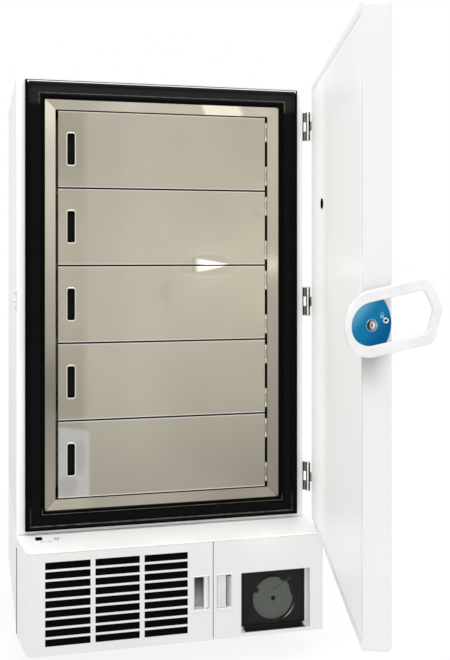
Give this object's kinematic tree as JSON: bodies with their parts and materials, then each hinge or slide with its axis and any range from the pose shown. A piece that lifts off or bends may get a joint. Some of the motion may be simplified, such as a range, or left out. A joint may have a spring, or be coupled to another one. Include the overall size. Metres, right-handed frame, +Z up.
{
  "type": "ultra low temperature freezer",
  "caption": "Upright ultra low temperature laboratory freezer with an insulated outer door on a loop-handled latch, stainless chamber doors, and a base with an air grille and a chart recorder.",
  "frame": {"origin": "on the floor, under the middle of the cabinet's footprint", "axes": "+X to the right seen from the front, +Y to the back, +Z up"},
  "size_m": [1.111, 1.8396, 1.962],
  "materials": {
    "white_powder_coat": "satin",
    "chamber_steel": "satin",
    "door_steel": "satin",
    "breaker_metal": "satin",
    "gasket_rubber": "matt",
    "foam": "matt",
    "copper_tube": "satin",
    "hinge_metal": "satin",
    "latch_plastic": "gloss",
    "hub_plastic": "gloss",
    "lock_chrome": "polished",
    "liner_gloss": "gloss",
    "galvanised": "matt",
    "black_paint": "satin",
    "black_plastic": "matt",
    "grey_plastic": "matt",
    "filter_pad": "matt",
    "window_clear": "gloss",
    "chart_paper": "matt",
    "fin_aluminium": "satin",
    "wheel_rubber": "matt"
  },
  "bodies": {
    "cabinet": {"outer_case": "white_powder_coat", "back_panel": "galvanised", "body_insulation": "foam", "inner_liner": "chamber_steel", "evaporator": "copper_tube", "breaker_frame": "breaker_metal", "body_gasket": "gasket_rubber", "shelf_supports": "chamber_steel", "shelf_1": "chamber_steel", "shelf_2": "chamber_steel", "shelf_3": "chamber_steel", "shelf_4": "chamber_steel", "inner_hinge_leaves": "hinge_metal", "cabinet_hinge_leaves": "hinge_metal", "strike_plate": "hinge_metal", "base_frame": "white_powder_coat", "base_ledge": "white_powder_coat", "ledge_plate": "white_powder_coat", "recorder_case": "black_plastic", "rear_grille": "galvanised", "condenser": "fin_aluminium", "fan_shroud": "galvanised", "fan_motor": "fin_aluminium", "compressor_high_stage": "black_paint", "compressor_low_stage": "black_paint", "control_box": "grey_plastic", "levelling_feet": "galvanised", "caster_plates": "galvanised"},
    "outer_door": {"door_shell": "white_powder_coat", "door_liner": "liner_gloss", "door_foam": "foam", "relief_port": "black_plastic", "door_hinge_leaves": "hinge_metal", "latch_housing": "latch_plastic"},
    "handle": {"handle_ring": "latch_plastic", "handle_hub": "hub_plastic"},
    "lock": {"key_lock": "lock_chrome"},
    "switch_plunger": {"door_switch_plunger": "latch_plastic"},
    "grille_door": {"grille_panel": "white_powder_coat", "air_filter": "filter_pad"},
    "grille_latch": {"grille_latch_paddle": "latch_plastic"},
    "recorder_door": {"recorder_panel": "white_powder_coat", "recorder_window": "window_clear"},
    "recorder_latch": {"recorder_latch_paddle": "grey_plastic"},
    "chart": {"chart_disc": "chart_paper"},
    "pen": {"recorder_pen": "grey_plastic"},
    "fan": {"condenser_fan": "black_plastic"},
    "chamber_door_1": {"inner_door_1": "door_steel"},
    "chamber_door_2": {"inner_door_2": "door_steel"},
    "chamber_door_3": {"inner_door_3": "door_steel"},
    "chamber_door_4": {"inner_door_4": "door_steel"},
    "chamber_door_5": {"inner_door_5": "door_steel"},
    "fork_1": {"caster_fork_1": "galvanised"},
    "wheel_1": {"caster_wheel_1": "wheel_rubber"},
    "fork_2": {"caster_fork_2": "galvanised"},
    "wheel_2": {"caster_wheel_2": "wheel_rubber"},
    "fork_3": {"caster_fork_3": "galvanised"},
    "wheel_3": {"caster_wheel_3": "wheel_rubber"},
    "fork_4": {"caster_fork_4": "galvanised"},
    "wheel_4": {"caster_wheel_4": "wheel_rubber"}
  },
  "joints": [
    {"name": "outer_door_hinge", "type": "hinge", "parent": "cabinet", "child": "outer_door", "pos_m": [0.524, -0.3875, 1.195], "axis": [0, 0, 1], "range_deg": [-74, 46]},
    {"name": "handle_turn", "type": "hinge", "parent": "outer_door", "child": "handle", "pos_m": [0.26003, -1.39986, 1.2], "axis": [0.2756, 0.9613, 0], "range_deg": [0, 40]},
    {"name": "key_turn", "type": "hinge", "parent": "handle", "child": "lock", "pos_m": [0.26003, -1.39986, 1.2], "axis": [-0.2756, -0.9613, 0], "range_deg": [0, 90]},
    {"name": "chamber_door_1_hinge", "type": "hinge", "parent": "cabinet", "child": "chamber_door_1", "pos_m": [0.3725, -0.3635, 0.6667], "axis": [0, 0, 1], "range_deg": [0, 85]},
    {"name": "chamber_door_2_hinge", "type": "hinge", "parent": "cabinet", "child": "chamber_door_2", "pos_m": [0.3725, -0.3635, 0.9301], "axis": [0, 0, 1], "range_deg": [0, 85]},
    {"name": "chamber_door_3_hinge", "type": "hinge", "parent": "cabinet", "child": "chamber_door_3", "pos_m": [0.3725, -0.3635, 1.1935], "axis": [0, 0, 1], "range_deg": [0, 85]},
    {"name": "chamber_door_4_hinge", "type": "hinge", "parent": "cabinet", "child": "chamber_door_4", "pos_m": [0.3725, -0.3635, 1.4569], "axis": [0, 0, 1], "range_deg": [0, 85]},
    {"name": "chamber_door_5_hinge", "type": "hinge", "parent": "cabinet", "child": "chamber_door_5", "pos_m": [0.3725, -0.3635, 1.7203], "axis": [0, 0, 1], "range_deg": [0, 85]},
    {"name": "switch_travel", "type": "slide", "parent": "cabinet", "child": "switch_plunger", "axis": [0, 0, -1], "range_m": [0, 0.0035], "stiffness_N_per_m": 200, "springref_m": -0.002},
    {"name": "grille_door_hinge", "type": "hinge", "parent": "cabinet", "child": "grille_door", "pos_m": [-0.501, -0.3975, 0.26], "axis": [0, 0, -1], "range_deg": [0, 90]},
    {"name": "grille_latch_turn", "type": "hinge", "parent": "grille_door", "child": "grille_latch", "pos_m": [0.0955, -0.5435, 0.254], "axis": [0, 0, -1], "range_deg": [0, 30], "stiffness_Nm_per_rad": 0.05},
    {"name": "recorder_door_hinge", "type": "hinge", "parent": "cabinet", "child": "recorder_door", "pos_m": [0.501, -0.3975, 0.26], "axis": [0, 0, 1], "range_deg": [0, 90]},
    {"name": "recorder_latch_turn", "type": "hinge", "parent": "recorder_door", "child": "recorder_latch", "pos_m": [0.1625, -0.5435, 0.254], "axis": [0, 0, 1], "range_deg": [0, 30], "stiffness_Nm_per_rad": 0.05},
    {"name": "chart_spin", "type": "hinge", "parent": "cabinet", "child": "chart", "pos_m": [0.342, -0.5185, 0.202], "axis": [0, -1, 0], "continuous": true},
    {"name": "pen_swing", "type": "hinge", "parent": "cabinet", "child": "pen", "pos_m": [0.398, -0.5185, 0.262], "axis": [0, 1, 0], "range_deg": [0, 20]},
    {"name": "fan_spin", "type": "hinge", "parent": "cabinet", "child": "fan", "pos_m": [-0.19, -0.2495, 0.261], "axis": [0, 1, 0], "continuous": true},
    {"name": "fork_1_swivel", "type": "hinge", "parent": "cabinet", "child": "fork_1", "pos_m": [-0.395, -0.2125, 0.088], "axis": [0, 0, 1], "continuous": true},
    {"name": "wheel_1_roll", "type": "hinge", "parent": "fork_1", "child": "wheel_1", "pos_m": [-0.395, -0.1885, 0.037], "axis": [1, 0, 0], "continuous": true},
    {"name": "fork_2_swivel", "type": "hinge", "parent": "cabinet", "child": "fork_2", "pos_m": [0.395, -0.2125, 0.088], "axis": [0, 0, 1], "continuous": true},
    {"name": "wheel_2_roll", "type": "hinge", "parent": "fork_2", "child": "wheel_2", "pos_m": [0.395, -0.1885, 0.037], "axis": [1, 0, 0], "continuous": true},
    {"name": "fork_3_swivel", "type": "hinge", "parent": "cabinet", "child": "fork_3", "pos_m": [-0.395, 0.2875, 0.088], "axis": [0, 0, 1], "continuous": true},
    {"name": "wheel_3_roll", "type": "hinge", "parent": "fork_3", "child": "wheel_3", "pos_m": [-0.395, 0.3115, 0.037], "axis": [1, 0, 0], "continuous": true},
    {"name": "fork_4_swivel", "type": "hinge", "parent": "cabinet", "child": "fork_4", "pos_m": [0.395, 0.2875, 0.088], "axis": [0, 0, 1], "continuous": true},
    {"name": "wheel_4_roll", "type": "hinge", "parent": "fork_4", "child": "wheel_4", "pos_m": [0.395, 0.3115, 0.037], "axis": [1, 0, 0], "continuous": true}
  ]
}
